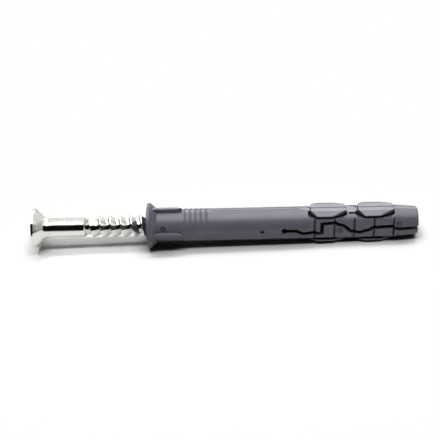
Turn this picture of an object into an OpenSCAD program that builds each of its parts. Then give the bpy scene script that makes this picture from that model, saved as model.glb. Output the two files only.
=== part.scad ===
// Hammer fixing plug: a moulded nylon sleeve with a screw-nail partly driven into it.
// The axis is X. The collar's face is at x = 0 and the sleeve's tip points to +X.
// Z is up, square to the two pairs of wing pads. All sizes are in millimetres.

/* [Sleeve] */
// Outside diameter of the sleeve, which is the drill size
sleeve_d = 8; // [7.6:0.1:9]
// Length of the sleeve from the collar's face to the tip
sleeve_l = 66.5; // [62:0.5:90]
// Radial play between the thread and the bore
bore_play = 0.05; // [0.02:0.01:0.15]
// Diameter of the narrow end of the bore, at the tip
exit_d = 2.6; // [2:0.1:3.2]
// Length over which the bore narrows
throat_l = 4; // [3:0.5:9]

/* [Collar] */
// Wall of the collar outside the seat of the nail's head
collar_wall = 0.65; // [0.3:0.05:0.9]
// Play between the nail's head and its seat
seat_play = 0.1; // [0.05:0.05:0.3]
// Width of the collar's rim
collar_rim = 0.7; // [0.5:0.05:1.2]
// Length of the cone behind the rim
collar_cone_l = 1.7; // [1.2:0.1:2.5]

/* [Ribs and rings] */
// Length of the ribs that stop the sleeve turning
rib_l = 6.2; // [4:0.1:9]
// Height of the ribs over the sleeve
rib_h = 0.95; // [0.5:0.05:1.2]
// Width of the ribs
rib_w = 0.8; // [0.5:0.05:1.2]
// Length of a rib's pointed end
rib_point_l = 1.4; // [0.6:0.1:2.5]
// Number of grip rings
ring_count = 5; // [3:1:8]
// Distance between grip rings
ring_pitch = 1.3; // [1:0.05:1.8]
// Height of the grip rings
ring_h = 0.13; // [0.08:0.01:0.25]
// Distance from the ribs to the first ring
ring_gap = 0.9; // [0.6:0.1:2]

/* [Jaws] */
// Length of one jaw step
jaw_l = 4.85; // [4.4:0.05:5.4]
// Width across the front and back flats
jaw_w = 6.4; // [6:0.1:7]
// Height across the jaws between the pads
jaw_h = 7.3; // [6.9:0.1:7.8]
// Length of the slope from the body down to the flats
shoulder_l = 2.4; // [1.5:0.1:4]
// Rise of each flat towards the tip
barb_rise = 0.12; // [0.05:0.01:0.3]
// Width of the groove between two jaw steps
groove_w = 0.62; // [0.2:0.02:0.8]
// Depth of the groove between two jaw steps
groove_depth = 0.5; // [0.1:0.05:0.6]
// Length of the solid-looking cone at the tip
tip_l = 5.9; // [4:0.1:8]
// Diameter of the tip's end
tip_end_d = 7; // [5.5:0.1:7.4]
// Bevel round the tip's end
tip_bevel = 0.3; // [0.2:0.1:0.9]

/* [Mould marks] */
// Width of the mould seam along the top and bottom
seam_w = 0.22; // [0.1:0.02:0.4]
// Height of the mould seam
seam_h = 0.06; // [0.03:0.01:0.12]
// Width of the mould line along the pads
pad_line_w = 0.45; // [0.2:0.05:0.8]
// Depth of the mould line along the pads
pad_line_depth = 0.18; // [0.05:0.01:0.25]
// Distance of the round dimple from the collar's face
dimple_x = 28.3; // [18:0.1:31]
// Diameter of the round dimple
dimple_d = 1.15; // [0.8:0.05:1.6]
// Depth of the dimple and the ring mark
mark_depth = 0.45; // [0.2:0.05:0.7]
// Distance of the ring mark from the collar's face
ring_mark_x = 4; // [3.2:0.1:6]
// Outside diameter of the ring mark
ring_mark_d = 1.2; // [0.9:0.05:1.5]
// Turn of the ring mark above the front rib
ring_mark_turn = 19; // [14:1:40]
// Width of the line of a ring mark or pin ring
ring_line = 0.3; // [0.2:0.02:0.36]
// Outside diameter of the pin rings on the jaws and the tip
pin_d = 1.3; // [0.9:0.05:1.4]
// Depth of the pin rings below the sleeve and the flats
pin_depth = 0.3; // [0.2:0.05:0.4]

/* [Slit] */
// Width of the slit between the jaws
slit_w = 0.94; // [0.5:0.02:1]
// Diameter of the keyhole where the slit starts
keyhole_d = 1.5; // [0.9:0.05:1.8]
// Width of the slit's upright step
hook_w = 0.9; // [0.7:0.05:1.4]

/* [Wing pads] */
// Length of a wing pad
pad_l = 8.6; // [7.5:0.1:9.2]
// Distance from one pad to the next
pad_pitch = 11.6; // [11:0.1:12.2]
// Width of a pad across its wings
pad_w = 6.4; // [5:0.1:6.8]
// Width of a pad at its ends
pad_end_w = 2.8; // [2:0.1:3.6]
// Width of the keel that carries the pads
keel_w = 1.6; // [1.2:0.1:2]
// Height of a pad's crown over the sleeve
pad_rise = 0.2; // [0.1:0.05:0.5]
// Width of the flat crown along the middle of a pad
pad_crown = 3.4; // [1.6:0.1:4.4]
// Drop from a pad's crown to its wing tips
pad_drop = 0.6; // [0.3:0.05:0.8]
// Thickness of a wing at its edge
pad_edge = 0.2; // [0.1:0.05:0.3]
// Clearance under the wings
pad_gap = 0.7; // [0.4:0.05:0.8]
// Clearance round the wings
pad_slot = 0.7; // [0.4:0.05:0.9]
// Width of the slot that leads to the second pad's room
lead_slot_w = 0.6; // [0.3:0.05:0.7]
// Wall between that slot and the first pad's room
lead_slot_wall = 0.4; // [0.3:0.05:0.8]
// Length of a pad's steep end
pad_ramp_in = 1.45; // [1:0.05:2]
// Length of a pad's gentle end
pad_ramp_out = 3.4; // [2.5:0.1:4.2]

/* [Screw-nail] */
// Length of the screw-nail from its head's face to its point
nail_l = 68.4; // [60:0.1:90]
// Diameter of the head
head_d = 9.8; // [9:0.1:11]
// Width of the head's rim
head_rim = 0.5; // [0.3:0.05:0.8]
// Radius of the fillet between the head's cone and the shank
head_fillet = 2; // [1:0.1:3]
// Diameter of the plain shank
shank_d = 4.8; // [4.4:0.1:5.2]
// Distance from the head's face to the thread
shank_l = 13.3; // [10:0.1:20]
// Outside diameter of the thread
thread_d = 5.5; // [5.2:0.05:5.8]
// Root diameter of the thread
root_d = 3.7; // [3.2:0.05:4.2]
// Distance from one turn of the thread to the next
thread_pitch = 2.58; // [2.2:0.02:3]
// Length of the point
point_l = 4.2; // [3:0.1:6]
// Width of the cross recess's slots
recess_w = 1; // [0.7:0.05:1.3]
// Length of the cross recess's slots
recess_l = 5; // [4:0.1:5.6]
// Depth of the cross recess
recess_depth = 2.4; // [1.6:0.1:2.8]

/* [Hidden] */
$fn = 96;

// Spare length by which a cutter passes the surface that it cuts
over = 1;

sleeve_r = sleeve_d / 2;
bore_r = thread_d / 2 + bore_play;
seat_r = head_d / 2 + seat_play;
collar_r = seat_r + collar_wall;
collar_l = collar_rim + collar_cone_l;
rib_end_x = collar_l + rib_l;
first_ring = rib_end_x + ring_gap;
ring_half = ring_pitch * 0.3;

// Jaws, counted back from the tip
jaw_count = 4;
tip_x = sleeve_l - tip_l;
jaw_x = tip_x - jaw_count * jaw_l;
shoulder_x = jaw_x - shoulder_l;
throat_x = shoulder_x;
flat_y = jaw_w / 2;
cap_z = jaw_h / 2;
outside = sleeve_r + over;

// Pads, with the first one starting a little ahead of the first jaw step
pad_lead = 0.9;
pad_count = 2;
pad_top_z = sleeve_r + pad_rise;
wing_z = pad_top_z - pad_drop;
pad_floor_z = wing_z - pad_edge - pad_gap;
room_l = pad_l + pad_slot * 0.3;

// The slit's middle line, as jaw steps from the first jaw and heights from the axis
slit_before = [[-1.54, 0], [-1, 0], [-0.55, -0.8], [-0.1, -0.95], [0.12, -1.35], [0.4, -1.35]];
slit_after = [
    [0.34, 1.35], [0.95, 1.6], [1.32, 0.95], [1.96, -1], [2.27, -1.3],
    [2.62, -0.75], [3, 0.05], [3.88, 0.3], [4.25, -0.05], [5.6, -0.1]
];
hook_step = 0.37;
slit_samples = 6;

// Pin rings: one on a jaw, as jaw steps and height, and two on the tip, as turns from the front
jaw_pin = [1.26, -0.6];
tip_pin_x = tip_x + 1.05;
tip_pin_turns = [18, -40];

// The screw-nail, pushed in until its point reaches the narrowing bore
point_x = throat_x + 1;
head_x = point_x - nail_l;
head_r = head_d / 2;
shank_r = shank_d / 2;
root_r = root_d / 2;
thread_x = head_x + shank_l;
thread_turns = floor((nail_l - shank_l - point_l) / thread_pitch);
turn_steps = 20;
fillet_steps = 8;
thread_sink = 0.2;

function blend(a, b, t) = a + (b - a) * (1 - cos(180 * t)) / 2;

// Solids of revolution about the X axis, from points given as [x, radius]
module lathe(points) {
    rotate([0, 90, 0])
        rotate_extrude()
            polygon([for (p = points) [p[1], p[0]]]);
}

// A profile in the XZ plane, carried right through along Y
module through_y(width) {
    rotate([90, 0, 0])
        linear_extrude(width, center = true)
            children();
}

// A profile in the YZ plane, carried along X
module along_x(x, length) {
    translate([x, 0, 0])
        rotate([90, 0, 90])
            linear_extrude(length)
                children();
}

module both_sides() {
    for (side = [0, 1])
        mirror([0, side, 0])
            children();
}

module top_and_bottom() {
    for (side = [0, 1])
        mirror([0, 0, side])
            children();
}

module sleeve_outside() {
    lathe(concat(
        [[0, 0], [0, collar_r], [collar_rim, collar_r], [collar_l, sleeve_r]],
        [for (i = [0 : ring_count - 1], step = [-1, 0, 1])
            [first_ring + i * ring_pitch + step * ring_half, sleeve_r + (step == 0 ? ring_h : 0)]],
        [[tip_x, sleeve_r], [sleeve_l - tip_bevel, tip_end_d / 2]],
        [[sleeve_l, tip_end_d / 2 - tip_bevel], [sleeve_l, 0]]
    ));
}

// Half of the barbed outline seen from above, as [x, y]
function flat_outline() = concat(
    [[-over, collar_r + over], [shoulder_x - shoulder_l, outside]],
    [[shoulder_x, sleeve_r], [jaw_x - groove_w / 2, flat_y]],
    [for (i = [0 : jaw_count - 1], p = [0, 1, 2]) flat_point(i, p)],
    [[tip_x, flat_y - groove_depth], [tip_x, outside], [sleeve_l + over, outside]]
);

// A jaw step has a groove, the flat's low end and the flat's high end
function flat_point(i, p) =
    let (x = jaw_x + i * jaw_l)
    p == 0 ? [x, flat_y - groove_depth]
    : p == 1 ? [x + groove_w / 2, flat_y - barb_rise]
    : [x + jaw_l - groove_w / 2, flat_y];

module flats() {
    half = flat_outline();
    ends = len(half) - 1;
    linear_extrude(2 * (collar_r + over), center = true)
        polygon(concat(half, [for (i = [ends : -1 : 0]) [half[i][0], -half[i][1]]]));
}

// The outline seen from the front: the jaws lie lower than the body and the tip
module caps() {
    high = collar_r + over;
    top = [
        [-over, high], [shoulder_x - shoulder_l, high], [shoulder_x, sleeve_r],
        [jaw_x, cap_z], [tip_x, cap_z], [tip_x, high], [sleeve_l + over, high]
    ];
    ends = len(top) - 1;
    through_y(2 * high)
        polygon(concat(top, [for (i = [ends : -1 : 0]) [top[i][0], -top[i][1]]]));
}

module rib() {
    half = rib_w / 2;
    translate([0, 0, bore_r + over / 2])
        linear_extrude(sleeve_r + rib_h - bore_r - over / 2)
            polygon([
                [collar_rim, -half], [rib_end_x - rib_point_l, -half], [rib_end_x, 0],
                [rib_end_x - rib_point_l, half], [collar_rim, half]
            ]);
}

function pad_x(i) = jaw_x - pad_lead + i * pad_pitch;

// The room round one wing, on one side of the keel
module wing_room(i) {
    keel = keel_w / 2;
    reach = pad_w / 2 + pad_slot;
    end_reach = pad_end_w / 2 + pad_slot;
    translate([pad_x(i), 0, pad_floor_z])
        linear_extrude(outside)
            polygon([
                [-pad_slot, keel], [-pad_slot, end_reach], [pad_ramp_in - pad_slot, reach],
                [pad_l - pad_ramp_out + pad_slot, reach], [room_l, end_reach], [room_l, keel]
            ]);
}

// The slot, in line with the pads' corners, that leads to a room from near the end of the room before it
module lead_slot(i) {
    start = pad_x(i - 1) + room_l + lead_slot_wall;
    translate([start, pad_end_w / 2, pad_floor_z])
        cube([pad_x(i) - start, lead_slot_w, outside]);
}

// A hexagonal plate with thin wing tips and a flat crown, which the mould line crosses
module pad(i) {
    half = pad_w / 2;
    end = pad_end_w / 2;
    crown = pad_crown / 2;
    line = pad_line_w / 2;
    intersection() {
        translate([pad_x(i), 0, 0])
            linear_extrude(pad_top_z + over)
                polygon([
                    [0, -end], [pad_ramp_in, -half], [pad_l - pad_ramp_out, -half], [pad_l, -end],
                    [pad_l, end], [pad_l - pad_ramp_out, half], [pad_ramp_in, half], [0, end]
                ]);
        along_x(pad_x(i) - over, pad_l + 2 * over)
            polygon([
                [-half, wing_z - pad_edge], [-half, wing_z], [-crown, pad_top_z],
                [-line, pad_top_z], [0, pad_top_z - pad_line_depth], [line, pad_top_z],
                [crown, pad_top_z], [half, wing_z], [half, wing_z - pad_edge],
                [0, pad_floor_z + pad_gap / 2]
            ]);
    }
}

module bore() {
    lathe([
        [-over, 0], [-over, seat_r + over], [seat_r - bore_r, bore_r], [throat_x, bore_r],
        [throat_x + throat_l, exit_d / 2], [sleeve_l + over, exit_d / 2], [sleeve_l + over, 0]
    ]);
}

function slit_place(p) = [jaw_x + p[0] * jaw_l, p[1]];

// Points on a smooth line through the turning points
function slit_line(turns) = concat(
    [for (i = [0 : len(turns) - 2], s = [0 : slit_samples - 1])
        let (a = slit_place(turns[i]), b = slit_place(turns[i + 1]), t = s / slit_samples)
        [a[0] + (b[0] - a[0]) * t, blend(a[1], b[1], t)]],
    [slit_place(turns[len(turns) - 1])]
);

// A ribbon of the slit's width along a line
module ribbon(line) {
    last = len(line) - 1;
    normals = [for (i = [0 : last])
        let (d = line[min(i + 1, last)] - line[max(i - 1, 0)])
        [-d[1], d[0]] / norm(d) * slit_w / 2];
    polygon(concat(
        [for (i = [0 : last]) line[i] + normals[i]],
        [for (i = [last : -1 : 0]) line[i] - normals[i]]
    ));
}

module slit() {
    width = 2 * outside;
    start = slit_place(slit_before[0]);
    low = slit_before[len(slit_before) - 1][1] - slit_w / 2;
    high = slit_after[0][1] + slit_w / 2;
    through_y(width)
        ribbon(slit_line(slit_before));
    through_y(width)
        ribbon(slit_line(slit_after));
    through_y(width)
        translate([jaw_x + hook_step * jaw_l - hook_w / 2, low])
            square([hook_w, high - low]);
    translate([start[0], 0, start[1]])
        rotate([90, 0, 0])
            cylinder(d = keyhole_d, h = width, center = true);
}

// A cutter that goes into the front as deep as a distance from the axis, turned up by an angle
module into_front(x, turn, from_axis) {
    translate([x, 0, 0])
        rotate([90 - turn, 0, 0])
            translate([0, 0, from_axis])
                children();
}

module ring_cutter(diameter) {
    difference() {
        cylinder(d = diameter, h = outside);
        cylinder(d = diameter - 2 * ring_line, h = outside);
    }
}

module marks() {
    into_front(dimple_x, 0, sleeve_r - mark_depth)
        cylinder(d = dimple_d, h = outside);
    into_front(ring_mark_x, ring_mark_turn, sleeve_r - mark_depth)
        ring_cutter(ring_mark_d);
    translate([0, 0, jaw_pin[1]])
        into_front(jaw_x + jaw_pin[0] * jaw_l, 0, flat_y - pin_depth)
            ring_cutter(pin_d);
    for (turn = tip_pin_turns)
        into_front(tip_pin_x, turn, sleeve_r - pin_depth)
            ring_cutter(pin_d);
}

// The line where the mould's halves met, from the last ring to the shoulder
module seam() {
    start = first_ring + ring_count * ring_pitch;
    translate([start, -seam_w / 2, sleeve_r - over / 2])
        cube([shoulder_x - over - start, seam_w, over / 2 + seam_h]);
}

module sleeve() {
    color([0.40, 0.40, 0.44])
        difference() {
            union() {
                difference() {
                    intersection() {
                        sleeve_outside();
                        flats();
                        caps();
                    }
                    top_and_bottom()
                        both_sides() {
                            for (i = [0 : pad_count - 1])
                                wing_room(i);
                            for (i = [1 : pad_count - 1])
                                lead_slot(i);
                        }
                }
                for (turn = [0 : 90 : 270])
                    rotate([turn, 0, 0])
                        rib();
                top_and_bottom()
                    for (i = [0 : pad_count - 1])
                        pad(i);
                top_and_bottom()
                    seam();
            }
            bore();
            slit();
            marks();
        }
}

// The fillet where the head's cone runs into the shank, as [x, radius]
function head_fillet_points() =
    let (
        reach = head_fillet * tan(22.5),
        corner = head_x + head_rim + head_r - shank_r,
        centre = [corner + reach, shank_r + head_fillet]
    )
    [for (i = [0 : fillet_steps])
        let (a = 225 + 45 * i / fillet_steps)
        centre + head_fillet * [cos(a), sin(a)]];

module nail_core() {
    lathe(concat(
        [[head_x, 0], [head_x, head_r], [head_x + head_rim, head_r]],
        head_fillet_points(),
        [[thread_x - shank_r + root_r, shank_r], [thread_x, root_r]],
        [[point_x - point_l, root_r], [point_x, 0]]
    ));
}

// Height of the thread along its length: it grows over its first turn and fades at the point
function thread_r(turn) =
    let (rise = min(1, 0.4 + 0.6 * turn), fade = min(1, (thread_turns - turn) / 0.8))
    root_r + (thread_d / 2 - root_r) * min(rise, fade);

// The buttress profile at one turn: a steep flank to the head and a gentle one to the point
function thread_profile(turn) = [
    [-0.16 * thread_pitch, root_r - thread_sink],
    [-0.04 * thread_pitch, thread_r(turn)],
    [0.05 * thread_pitch, thread_r(turn)],
    [0.72 * thread_pitch, root_r - thread_sink]
];

module thread() {
    steps = thread_turns * turn_steps;
    side = 4;
    points = [for (i = [0 : steps], p = thread_profile(i / turn_steps))
        let (turn = i / turn_steps, a = 360 * turn)
        [thread_x + turn * thread_pitch + p[0], p[1] * cos(a), p[1] * sin(a)]];
    skin = [for (i = [0 : steps - 1], j = [0 : side - 1])
        let (a = i * side + j, b = i * side + (j + 1) % side)
        each [[a, b, b + side], [a, b + side, a + side]]];
    last = steps * side;
    caps = [[3, 2, 1, 0], [last, last + 1, last + 2, last + 3]];
    polyhedron(points = points, faces = concat(skin, caps));
}

module recess() {
    narrow = recess_w / 2;
    translate([head_x, 0, 0])
        rotate([0, 90, 0])
            intersection() {
                translate([0, 0, -over])
                    cylinder(h = recess_depth + over, r1 = recess_l / 2 + over / 2, r2 = narrow);
                for (turn = [0, 90])
                    rotate([0, 0, turn])
                        cube([recess_l, recess_w, 2 * recess_depth], center = true);
            }
}

module screw_nail() {
    color([0.80, 0.80, 0.77])
        difference() {
            union() {
                nail_core();
                thread();
            }
            recess();
        }
}

sleeve();
screw_nail();
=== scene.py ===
"""Looks of the hammer fixing plug.

A satin nylon sleeve with a bright zinc-plated screw-nail lies on a white ground.
"""
import math

import bmesh
import bpy
from mathutils import Matrix, Vector


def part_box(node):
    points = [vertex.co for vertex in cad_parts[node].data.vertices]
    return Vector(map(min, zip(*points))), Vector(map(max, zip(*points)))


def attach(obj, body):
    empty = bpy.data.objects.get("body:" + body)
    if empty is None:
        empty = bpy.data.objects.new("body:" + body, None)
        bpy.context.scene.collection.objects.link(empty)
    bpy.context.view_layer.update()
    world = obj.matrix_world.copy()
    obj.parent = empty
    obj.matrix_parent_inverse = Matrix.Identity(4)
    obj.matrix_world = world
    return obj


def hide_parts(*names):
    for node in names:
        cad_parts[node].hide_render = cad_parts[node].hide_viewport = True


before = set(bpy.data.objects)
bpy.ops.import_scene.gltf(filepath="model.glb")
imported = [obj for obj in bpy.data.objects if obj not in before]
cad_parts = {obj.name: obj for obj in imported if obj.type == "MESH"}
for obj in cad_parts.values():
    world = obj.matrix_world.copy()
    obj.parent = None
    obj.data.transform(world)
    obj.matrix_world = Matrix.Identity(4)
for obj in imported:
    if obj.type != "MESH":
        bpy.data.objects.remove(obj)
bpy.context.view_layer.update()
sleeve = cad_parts["sleeve"]
MM = 0.001

# The camera, at the photograph's viewing angle
FRAME_PX = 440
FOCAL_PX = 900
SENSOR = 36
CLIP_START = 0.01
CAMERA_AZIMUTH = 2.05
CAMERA_ELEVATION = 32.64
CAMERA_ROLL = -2.36
CAMERA_DISTANCE = 223.5 * MM
CAMERA_TARGET = Vector((17.94, 0, 1.23)) * MM

# The screw-nail, in millimetres along and round the plug's axis
nail_low, nail_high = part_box("screw_nail")
HEAD_X = nail_low.x / MM
HEAD_R = nail_high.z / MM
HEAD_RIM = 0.5
RIM_BREAK = 0.08
HEAD_SLOPE = math.radians(45)
HEAD_FILLET = 2.0
FILLET_STEPS = 8
SHANK_R = 2.4
SHANK_L = 13.3
THREAD_X = HEAD_X + SHANK_L
THREAD_R = 2.75
ROOT_R = 1.85
PITCH = 2.58
POINT_X = nail_high.x / MM
POINT_L = 4.2
ROUND_STEPS = 96
SHARP_ANGLE = math.radians(38)

# The point's last ring, as a share of the point's length and radius from the tip
LAST_RING = 0.04

# The buttress thread across one turn, as a share of the pitch and a share of the height
THREAD_PROFILE = [
    (-0.16, 0), (-0.13, 0.08), (-0.06, 0.84), (-0.045, 0.95), (-0.02, 1), (0.025, 1), (0.055, 0.97),
    (0.09, 0.91), (0.3, 0.55), (0.52, 0.16), (0.58, 0.07), (0.65, 0.01), (0.72, 0),
]

# The thread along the nail, in turns: a quick rise to a share of its height, growth to the whole of it,
# and a fade before the point
THREAD_TURNS = 19
FIRST_RISE = 0.45
FIRST_TURNS = 0.1
FULL_TURNS = 1.1
FADE_TURNS = 0.8
LEAD_IN = 0.2 * PITCH

# The cross recess in the head, with the reach of its arms at the floor in half widths.
# Its cutter stands out of the face, and its arms are longer there.
RECESS_W = 1.0
RECESS_L = 4.5
RECESS_DEPTH = 2.4
FLOOR_REACH = 1.3
CUTTER_RISE = 0.4
CUTTER_SPREAD = 0.3

# Mesh tolerances, in metres
WELD = 1e-7
SLIVER = 1e-8
FLAT = 1e-9

# Noise lies mostly between these values, and its scales below are in features per metre
NOISE_RANGE = (0.3, 0.7)

# Rays that feel for hollows and for edges
HOLLOW_SAMPLES = 8
EDGE_SAMPLES = 6

# The sleeve's nylon
NYLON_COLOURS = ((0.098, 0.098, 0.124), (0.119, 0.118, 0.149))
# Painted shade: the colour the nylon takes deep in slits, grooves and the gaps under the pads
NYLON_PAINTED_SHADE = (0.012, 0.012, 0.014)
NYLON_ROUGHNESS = (0.30, 0.38)
CREVICE_ROUGHNESS = 1
NYLON_IOR = 1.53
NYLON_FLOW = {"scale": 260, "detail": 4, "stretch": (0.35, 1, 1)}
NYLON_SATIN = {"scale": 900, "detail": 3}
NYLON_GRAIN = {"scale": 5200, "detail": 3}
NYLON_BUMP = {"distance": 0.01 * MM, "strength": 0.35}
# How far the nylon feels for hollows, and the limits of its painted shade
NYLON_HOLLOWS = {"distance": 8 * MM, "limits": (0.2, 0.8)}
EDGE_RADIUS = 0.12 * MM

# The nail's zinc plating
ZINC_COLOURS = ((0.86, 0.87, 0.85), (0.82, 0.835, 0.785))
# Painted shade: the colour the zinc takes deep in the thread roots and the recess
ZINC_PAINTED_SHADE = (0.26, 0.26, 0.22)
ZINC_ROUGHNESS = (0.09, 0.19)
ZINC_BLOOM = {"scale": 240, "detail": 3}
ZINC_POLISH = {"scale": 1500, "detail": 3}
ZINC_STREAKS = {"scale": 2600, "detail": 2, "stretch": (0.06, 1, 1)}
ZINC_BUMP = {"distance": 0.008 * MM, "strength": 0.3}
# How far the zinc feels for hollows, and the limits of its painted shade
ZINC_HOLLOWS = {"distance": 2.5 * MM, "limits": (0.6, 0.96)}

# The ground as the camera sees it, as the plug mirrors it, and as it throws light back
GROUND_SIZE = 4.0
GROUND_ROUGHNESS = 0.9
GROUND_SEEN = (0.98, 0.975, 0.975)
# Painted shadow: the ground's colour close under the plug, with the reach and limits of its mask below
GROUND_PAINTED_SHADOW = (0.16, 0.155, 0.15)
GROUND_HOLLOWS = {"distance": 6 * MM, "limits": (0.2, 0.8), "own_shape_only": False}
GROUND_MIRRORED = (0.82, 0.825, 0.815)
# Painted dark reflection: the ground's colour in reflections far in front of the plug, between these Y
# limits
GROUND_PAINTED_DARK_REFLECTION = (0.03, 0.03, 0.03)
FRONT_LIMITS = (-50 * MM, -26 * MM)
GROUND_BOUNCE = (0.42, 0.42, 0.42)

# How far from the plug the ground turns to plain white, and how much longer than wide that outline is
WHITE_LIMITS = (26 * MM, 70 * MM)
SHADOW_STRETCH = 2.6

# The plug lies on its collar, which ends at the first X, and on its pads, which lie beyond the second
COLLAR_REACH = 2 * MM
PADS_FROM = 20 * MM

# The studio round the plug's axis, as degrees from the front horizon over the top to the back, and a level.
# The bright back panel stands beside the sleeve, and a greyer wall beside the nail.
HALF_TURN = 180
SLEEVE_ARC = [
    (0, 0.004), (58, 0.004), (64, 5.0), (90, 5.0), (95, 5.8), (114, 5.8), (119, 3.2), (138, 3.2),
    (142, 6.5), (158, 6.5), (162, 0.9), (170, 0.55), (175, 0.55), (178, 0.95), (180, 0.95),
]
NAIL_ARC = [(0, 0.004), (61, 0.004), (66, 1.15), (90, 1.15), (98, 0.76), (180, 0.8)]

# The share of the sleeve's arc by the X of a direction, the studio's two ends, and its level as soft light
SLEEVE_SIDE = [(-0.14, 0), (-0.115, 1), (0.3, 1), (0.4, 0)]
ENDS_LIMITS = (0.78, 0.92)
ENDS_LEVEL = 0.45
SOFT_LIMIT = 1
SOFT_SHARE = 0.16

# Strip lamps along the plug, each with its degrees from the front horizon and its power
LAMPS = {"front_softbox": (70, 2.7), "back_softbox": (100, 1.2)}
LAMP_X = 20 * MM
LAMP_DISTANCE = 0.6
LAMP_SIZE = (0.45, 0.07)


def smooth(low, high, value):
    """An eased step from 0 at low to 1 at high."""
    t = min(1, max(0, (value - low) / (high - low)))
    return t * t * (3 - 2 * t)


def add_object(name, data):
    """A new object in the scene."""
    made = bpy.data.objects.new(name, data)
    bpy.context.scene.collection.objects.link(made)
    return made


def add_mesh(name, bm):
    """An object with the mesh that bm holds, which is then freed."""
    mesh = bpy.data.meshes.new(name)
    bm.to_mesh(mesh)
    bm.free()
    return add_object(name, mesh)


def new_piece(name, bm, material):
    """A finished mesh that rides on the plug's one body."""
    piece = add_mesh(name, bm)
    piece.data.materials.append(material)
    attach(piece, "root")
    return piece


# Shader nodes

def add_node(tree, kind, **settings):
    """A new shader node with its settings."""
    node = tree.nodes.new("ShaderNode" + kind)
    for name, value in settings.items():
        setattr(node, name, value)
    return node


def feed(tree, value, socket):
    """Gives a socket its value: a link from another socket, or a plain one."""
    if isinstance(value, bpy.types.NodeSocket):
        tree.links.new(value, socket)
    else:
        socket.default_value = value


def calculate(tree, operation, *values):
    """The result of a sum on one or two values."""
    node = add_node(tree, "Math", operation=operation)
    for value, socket in zip(values, node.inputs):
        feed(tree, value, socket)
    return node.outputs[0]


def map_range(tree, value, limits, results=(0, 1), easing="LINEAR"):
    """Turns the range between two limits into the range between two results."""
    node = add_node(tree, "MapRange", interpolation_type=easing)
    node.inputs["From Min"].default_value, node.inputs["From Max"].default_value = limits
    node.inputs["To Min"].default_value, node.inputs["To Max"].default_value = results
    feed(tree, value, node.inputs["Value"])
    return node.outputs["Result"]


def mix(tree, factor, first, second, kind="FLOAT"):
    """The first value where the factor is 0, and the second where it is 1."""
    node = add_node(tree, "Mix", data_type=kind)
    for value, name in ((factor, "Factor"), (first, "A"), (second, "B")):
        feed(tree, value, node.inputs[name])
    return node.outputs["Result"]


def two_colours(tree, factor, *colours):
    """A mix of two colours, each a socket or a tuple of red, green and blue."""
    first, second = (c if isinstance(c, bpy.types.NodeSocket) else (*c, 1) for c in colours)
    return mix(tree, factor, first, second, "RGBA")


def ramp(tree, place, stops):
    """Levels at places between 0 and 1, with straight lines between them."""
    node = add_node(tree, "ValToRGB")
    marks = node.color_ramp.elements
    while len(marks) < len(stops):
        marks.new(0.5)
    for mark, (position, level) in zip(marks, stops):
        mark.position = position
        mark.color = (level, level, level, 1)
    feed(tree, place, node.inputs["Fac"])
    return node.outputs["Color"]


def separate(tree, vector):
    """The X, Y and Z of a vector."""
    node = add_node(tree, "SeparateXYZ")
    feed(tree, vector, node.inputs["Vector"])
    return node.outputs


def noise(tree, scale, detail, stretch=(1, 1, 1)):
    """Noise in the plug's own frame."""
    coords = add_node(tree, "TexCoord")
    mapping = add_node(tree, "Mapping")
    feed(tree, coords.outputs["Object"], mapping.inputs["Vector"])
    feed(tree, stretch, mapping.inputs["Scale"])
    texture = add_node(tree, "TexNoise")
    feed(tree, mapping.outputs["Vector"], texture.inputs["Vector"])
    feed(tree, scale, texture.inputs["Scale"])
    feed(tree, detail, texture.inputs["Detail"])
    return texture.outputs["Fac"]


def bump(tree, height, distance, strength, normal=None):
    """A normal that follows a height."""
    node = add_node(tree, "Bump")
    feed(tree, distance, node.inputs["Distance"])
    feed(tree, strength, node.inputs["Strength"])
    feed(tree, height, node.inputs["Height"])
    if normal:
        feed(tree, normal, node.inputs["Normal"])
    return node.outputs["Normal"]


def open_to_air(tree, distance, limits, own_shape_only=True):
    """1 on open surfaces, falling to 0 deep in slits and grooves, or close under another piece: the mask
    for painted shade and painted shadow.
    """
    hollow = add_node(tree, "AmbientOcclusion", samples=HOLLOW_SAMPLES, only_local=own_shape_only)
    feed(tree, distance, hollow.inputs["Distance"])
    return map_range(tree, hollow.outputs["AO"], limits)


# Materials

def new_material(name):
    """A material, its node tree and its shader."""
    material = bpy.data.materials.new(name)
    material.use_nodes = True
    tree = material.node_tree
    return material, tree, tree.nodes["Principled BSDF"]


def nylon_material():
    """Satin grey nylon with slight flow mottling, a fine grain, softly broken edges and painted shade in
    its crevices.
    """
    material, tree, shader = new_material("sleeve_nylon")
    flow = map_range(tree, noise(tree, **NYLON_FLOW), NOISE_RANGE)
    open_colour = two_colours(tree, flow, *NYLON_COLOURS)
    openness = open_to_air(tree, **NYLON_HOLLOWS)
    satin = map_range(tree, noise(tree, **NYLON_SATIN), NOISE_RANGE, NYLON_ROUGHNESS)
    edges = add_node(tree, "Bevel", samples=EDGE_SAMPLES)
    feed(tree, EDGE_RADIUS, edges.inputs["Radius"])
    grain = bump(tree, noise(tree, **NYLON_GRAIN), normal=edges.outputs["Normal"], **NYLON_BUMP)
    # Painted shade in hollows, with rougher gloss there
    feed(tree, two_colours(tree, openness, NYLON_PAINTED_SHADE, open_colour), shader.inputs["Base Color"])
    feed(tree, mix(tree, openness, CREVICE_ROUGHNESS, satin), shader.inputs["Roughness"])
    feed(tree, grain, shader.inputs["Normal"])
    feed(tree, NYLON_IOR, shader.inputs["IOR"])
    return material


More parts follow.
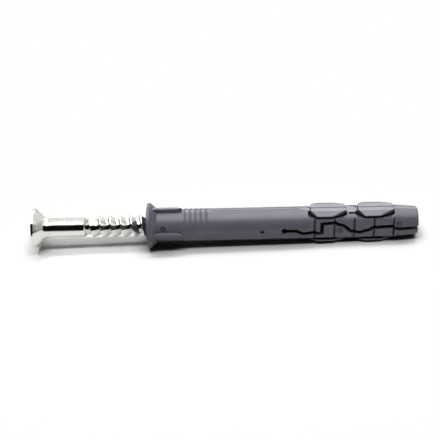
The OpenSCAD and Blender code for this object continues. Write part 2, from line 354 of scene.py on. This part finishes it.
def zinc_material():
    """Bright zinc plating with a faint yellow-green bloom, drawing lines and painted shade in the thread
    roots.
    """
    material, tree, shader = new_material("nail_zinc")
    bloom = map_range(tree, noise(tree, **ZINC_BLOOM), NOISE_RANGE)
    bright = two_colours(tree, bloom, *ZINC_COLOURS)
    openness = open_to_air(tree, **ZINC_HOLLOWS)
    polish = map_range(tree, noise(tree, **ZINC_POLISH), NOISE_RANGE, ZINC_ROUGHNESS)
    streaks = bump(tree, noise(tree, **ZINC_STREAKS), **ZINC_BUMP)
    # Painted shade in the thread roots
    feed(tree, two_colours(tree, openness, ZINC_PAINTED_SHADE, bright), shader.inputs["Base Color"])
    feed(tree, polish, shader.inputs["Roughness"])
    feed(tree, streaks, shader.inputs["Normal"])
    feed(tree, 1, shader.inputs["Metallic"])
    return material


def ground_colour(tree, path, across):
    """White for the camera, with a painted shadow where the plug touches it.

    In reflections it shows a painted dark reflection far in front of the plug, and it throws light back as
    grey.
    """
    # Painted dark reflection of the ground far in front, seen only in reflections
    near = map_range(tree, across, FRONT_LIMITS)
    mirrored = two_colours(tree, near, GROUND_PAINTED_DARK_REFLECTION, GROUND_MIRRORED)
    unseen = two_colours(tree, path["Is Glossy Ray"], GROUND_BOUNCE, mirrored)
    # Painted shadow under the plug, seen by the camera
    clear = open_to_air(tree, **GROUND_HOLLOWS)
    seen = two_colours(tree, clear, GROUND_PAINTED_SHADOW, GROUND_SEEN)
    return two_colours(tree, path["Is Camera Ray"], unseen, seen)


def plain_white(tree, path, place):
    """1 where the camera sees the ground beyond the plug's shadow, and 0 near it and for other rays."""
    around = add_node(tree, "Mapping")
    feed(tree, (1 / SHADOW_STRETCH, 1, 0), around.inputs["Scale"])
    feed(tree, (-LAMP_X / SHADOW_STRETCH, 0, 0), around.inputs["Location"])
    feed(tree, place, around.inputs["Vector"])
    away = add_node(tree, "VectorMath", operation="LENGTH")
    feed(tree, around.outputs["Vector"], away.inputs[0])
    far = map_range(tree, away.outputs["Value"], WHITE_LIMITS, easing="SMOOTHSTEP")
    return calculate(tree, "MULTIPLY", far, path["Is Camera Ray"])


def ground_material():
    """A white ground that keeps the plug's shadow, with a painted shadow where the plug touches it, and
    turns to plain white far away.
    """
    material, tree, shader = new_material("ground")
    path = add_node(tree, "LightPath").outputs
    place = add_node(tree, "TexCoord").outputs["Object"]
    feed(tree, ground_colour(tree, path, separate(tree, place)["Y"]), shader.inputs["Base Color"])
    feed(tree, GROUND_ROUGHNESS, shader.inputs["Roughness"])
    feed(tree, 0, shader.inputs["Specular IOR Level"])
    white = add_node(tree, "Emission")
    surface = add_node(tree, "MixShader")
    layers = (plain_white(tree, path, place), shader.outputs[0], white.outputs[0])
    for layer, socket in zip(layers, surface.inputs):
        feed(tree, layer, socket)
    feed(tree, surface.outputs[0], tree.nodes["Material Output"].inputs["Surface"])
    return material


# The screw-nail

def head_profile():
    """Points along the head and shank, as (x, radius), from the face to the root of the thread."""
    rim_x = HEAD_X + HEAD_RIM
    corner = rim_x + (HEAD_R - SHANK_R) / math.tan(HEAD_SLOPE)
    centre = Vector((corner + HEAD_FILLET * math.tan(HEAD_SLOPE / 2), SHANK_R + HEAD_FILLET))
    points = [
        (HEAD_X, HEAD_R - RIM_BREAK), (HEAD_X + RIM_BREAK, HEAD_R),
        (rim_x - RIM_BREAK, HEAD_R), (rim_x + RIM_BREAK, HEAD_R - RIM_BREAK),
    ]
    for i in range(FILLET_STEPS + 1):
        angle = HEAD_SLOPE * (i / FILLET_STEPS - 1) - math.pi / 2
        points.append((centre.x + HEAD_FILLET * math.cos(angle), centre.y + HEAD_FILLET * math.sin(angle)))
    points += [(THREAD_X - SHANK_R + ROOT_R, SHANK_R), (THREAD_X, ROOT_R)]
    return points


def ring_vertex(bm, x, radius, step):
    """A vertex at a radius from the axis, a number of steps round it."""
    angle = 2 * math.pi * step / ROUND_STEPS
    return bm.verts.new(Vector((x, radius * math.cos(angle), radius * math.sin(angle))) * MM)


def add_lathe(bm, points):
    """Skins a row of rings, open at both ends, and returns the rings."""
    rings = [[ring_vertex(bm, x, r, s) for s in range(ROUND_STEPS)] for x, r in points]
    for a, b in zip(rings, rings[1:]):
        for s in range(ROUND_STEPS):
            t = (s + 1) % ROUND_STEPS
            bm.faces.new((a[s], b[s], b[t], a[t]))
    return rings


def close_ring(bm, ring, x):
    """Closes a ring with a fan of faces to a point on the axis."""
    middle = bm.verts.new(Vector((x, 0, 0)) * MM)
    for s in range(ROUND_STEPS):
        bm.faces.new((middle, ring[s], ring[(s + 1) % ROUND_STEPS]))


def thread_height(turn, x):
    """The thread grows over its first turn and fades out before the point."""
    rise = smooth(0, FIRST_TURNS, turn)
    growth = smooth(FIRST_TURNS, FULL_TURNS, turn)
    grown = FIRST_RISE * rise + (1 - FIRST_RISE) * growth
    fading = 1 - smooth(THREAD_TURNS - FADE_TURNS, THREAD_TURNS, turn)
    return min(grown, fading) * smooth(0, LEAD_IN, x - THREAD_X)


def add_thread(bm, end_x):
    """A skin that follows the helix, so that its crests and roots are clean lines."""
    rows = {}
    first, last = -ROUND_STEPS, int((end_x - THREAD_X) / PITCH + 2) * ROUND_STEPS
    for step in range(first, last + 1):
        turn = step / ROUND_STEPS
        row = []
        for share, height in THREAD_PROFILE:
            x = THREAD_X + (turn + share) * PITCH
            radius = ROOT_R + (THREAD_R - ROOT_R) * height * thread_height(turn, x)
            row.append(ring_vertex(bm, min(end_x, max(THREAD_X, x)), radius, step))
        rows[step] = row
    for step in range(first, last):
        a, b = list(rows[step]), list(rows[step + 1])
        if step + ROUND_STEPS + 1 in rows:
            a.append(rows[step + ROUND_STEPS][0])
            b.append(rows[step + ROUND_STEPS + 1][0])
        for j in range(len(a) - 1):
            corners = (a[j], a[j + 1], b[j + 1], b[j])
            if max(v.co.x for v in corners) - min(v.co.x for v in corners) > FLAT:
                bm.faces.new(corners)


def recess_cutter():
    """A cross with tapering arms, for the driver recess in the head's face."""
    bm = bmesh.new()
    narrow = RECESS_W / 2
    rings = []
    top_reach = RECESS_L / 2 + CUTTER_SPREAD
    for depth, reach in ((-CUTTER_RISE, top_reach), (RECESS_DEPTH, narrow * FLOOR_REACH)):
        ring = []
        for quarter in range(4):
            turn = Matrix.Rotation(math.radians(90 * quarter), 3, "X")
            for y, z in ((narrow, narrow), (narrow, reach), (-narrow, reach)):
                ring.append(bm.verts.new(turn @ Vector((HEAD_X + depth, y, z)) * MM))
        rings.append(ring)
    count = len(rings[0])
    for i in range(count):
        j = (i + 1) % count
        bm.faces.new((rings[0][i], rings[0][j], rings[1][j], rings[1][i]))
    for ring in rings:
        bm.faces.new(ring)
    bmesh.ops.recalc_face_normals(bm, faces=bm.faces)
    return add_mesh("recess_cutter", bm)


def cut_recess(nail):
    """Takes the cross recess out of the nail's mesh and clears the slivers that the cut leaves."""
    cutter = recess_cutter()
    cut = nail.modifiers.new("recess", "BOOLEAN")
    cut.operation = "DIFFERENCE"
    cut.solver = "EXACT"
    cut.object = cutter
    bpy.context.view_layer.update()
    graph = bpy.context.evaluated_depsgraph_get()
    finished = bpy.data.meshes.new_from_object(nail.evaluated_get(graph))
    nail.modifiers.clear()
    nail.data = finished
    bpy.data.objects.remove(cutter)
    bm = bmesh.new()
    bm.from_mesh(finished)
    bmesh.ops.dissolve_degenerate(bm, edges=bm.edges, dist=WELD)
    bm.to_mesh(finished)
    bm.free()


def make_nail(material):
    """The head and shank, the thread and the point, welded into one skin, with the recess cut into it."""
    bm = bmesh.new()
    taper_x = POINT_X - POINT_L
    head = add_lathe(bm, head_profile())
    close_ring(bm, head[0], HEAD_X)
    add_thread(bm, taper_x)
    point = add_lathe(bm, [(taper_x, ROOT_R), (POINT_X - POINT_L * LAST_RING, ROOT_R * LAST_RING)])
    close_ring(bm, point[-1], POINT_X)
    bmesh.ops.remove_doubles(bm, verts=bm.verts, dist=WELD)
    bmesh.ops.dissolve_degenerate(bm, edges=bm.edges, dist=SLIVER)
    bmesh.ops.recalc_face_normals(bm, faces=bm.faces)
    nail = new_piece("zinc_screw_nail", bm, material)
    cut_recess(nail)
    nail.data.shade_smooth()
    nail.data.set_sharp_from_angle(angle=SHARP_ANGLE)
    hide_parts("screw_nail")


# The stage

def resting_slope():
    """The collar's lowest point, and the slope along X of the ground from there to the pads."""
    points = [v.co for v in sleeve.data.vertices]
    collar = min((p for p in points if p.x < COLLAR_REACH), key=lambda p: p.z)
    slope = min((p.z - collar.z) / (p.x - collar.x) for p in points if p.x > PADS_FROM)
    return collar, slope


def make_ground():
    """A wide plane that the plug lies on."""
    collar, slope = resting_slope()
    bm = bmesh.new()
    half = GROUND_SIZE / 2
    corners = [(-half, -half), (half, -half), (half, half), (-half, half)]
    bm.faces.new([bm.verts.new((x, y, collar.z + slope * (x - collar.x))) for x, y in corners])
    ground = add_mesh("ground", bm)
    ground.data.materials.append(ground_material())


def make_world():
    """A pale studio with a dark opening where the photographer stands.

    Reflections show its full levels, it is dimmer as soft light, and the camera sees white.
    """
    world = bpy.data.worlds.new("studio")
    bpy.context.scene.world = world
    world.use_nodes = True
    tree = world.node_tree
    direction = separate(tree, add_node(tree, "TexCoord").outputs["Generated"])
    front = calculate(tree, "MULTIPLY", direction["Y"], -1)
    angle = calculate(tree, "ARCTAN2", direction["Z"], front)
    share = calculate(tree, "DIVIDE", angle, math.pi)
    along = map_range(tree, direction["X"], (-1, 1))
    side = ramp(tree, along, [((x + 1) / 2, level) for x, level in SLEEVE_SIDE])
    by_nail, by_sleeve = (
        ramp(tree, share, [(degrees / HALF_TURN, level) for degrees, level in arc])
        for arc in (NAIL_ARC, SLEEVE_ARC)
    )
    aside = calculate(tree, "ABSOLUTE", direction["X"])
    ends = map_range(tree, aside, ENDS_LIMITS, easing="SMOOTHSTEP")
    studio = mix(tree, ends, mix(tree, side, by_nail, by_sleeve), ENDS_LEVEL)
    soft = calculate(tree, "MULTIPLY", calculate(tree, "MINIMUM", studio, SOFT_LIMIT), SOFT_SHARE)
    path = add_node(tree, "LightPath").outputs
    unseen = mix(tree, path["Is Glossy Ray"], soft, studio)
    background = tree.nodes["Background"]
    feed(tree, (1, 1, 1, 1), background.inputs["Color"])
    feed(tree, mix(tree, path["Is Camera Ray"], unseen, 1), background.inputs["Strength"])


def make_lamp(name, degrees, power):
    """A strip softbox along the plug, at an angle round its axis from the front horizon.

    Reflections show the studio's panels in its place.
    """
    turn = math.radians(degrees)
    aim = Vector((LAMP_X, 0, 0))
    place = aim + Vector((0, -math.cos(turn), math.sin(turn))) * LAMP_DISTANCE
    light = bpy.data.lights.new(name, "AREA")
    light.shape = "RECTANGLE"
    light.size, light.size_y = LAMP_SIZE
    light.energy = power
    lamp = add_object(name, light)
    lamp.location = place
    lamp.rotation_euler = (aim - place).to_track_quat("-Z", "Y").to_euler()
    lamp.visible_glossy = False


def make_camera():
    """The photograph's camera, turned by its azimuth, elevation and roll."""
    azimuth, elevation, roll = (math.radians(a) for a in (CAMERA_AZIMUTH, CAMERA_ELEVATION, CAMERA_ROLL))
    flat = math.cos(elevation)
    back = Vector((math.sin(azimuth) * flat, -math.cos(azimuth) * flat, math.sin(elevation)))
    right = Vector((math.cos(azimuth), math.sin(azimuth), 0))
    up = back.cross(right)
    turn = Matrix((
        right * math.cos(roll) + up * math.sin(roll),
        up * math.cos(roll) - right * math.sin(roll),
        back,
    )).transposed()
    data = bpy.data.cameras.new("camera")
    data.sensor_width = SENSOR
    data.lens = FOCAL_PX * SENSOR / FRAME_PX
    data.clip_start = CLIP_START
    camera = add_object("camera", data)
    camera.matrix_world = Matrix.Translation(CAMERA_TARGET + back * CAMERA_DISTANCE) @ turn.to_4x4()
    bpy.context.scene.camera = camera


sleeve.data.materials.clear()
sleeve.data.materials.append(nylon_material())
make_nail(zinc_material())
make_camera()
make_ground()
make_world()
for lamp_name, (lamp_degrees, lamp_power) in LAMPS.items():
    make_lamp(lamp_name, lamp_degrees, lamp_power)
bpy.context.scene.view_settings.view_transform = "Standard"
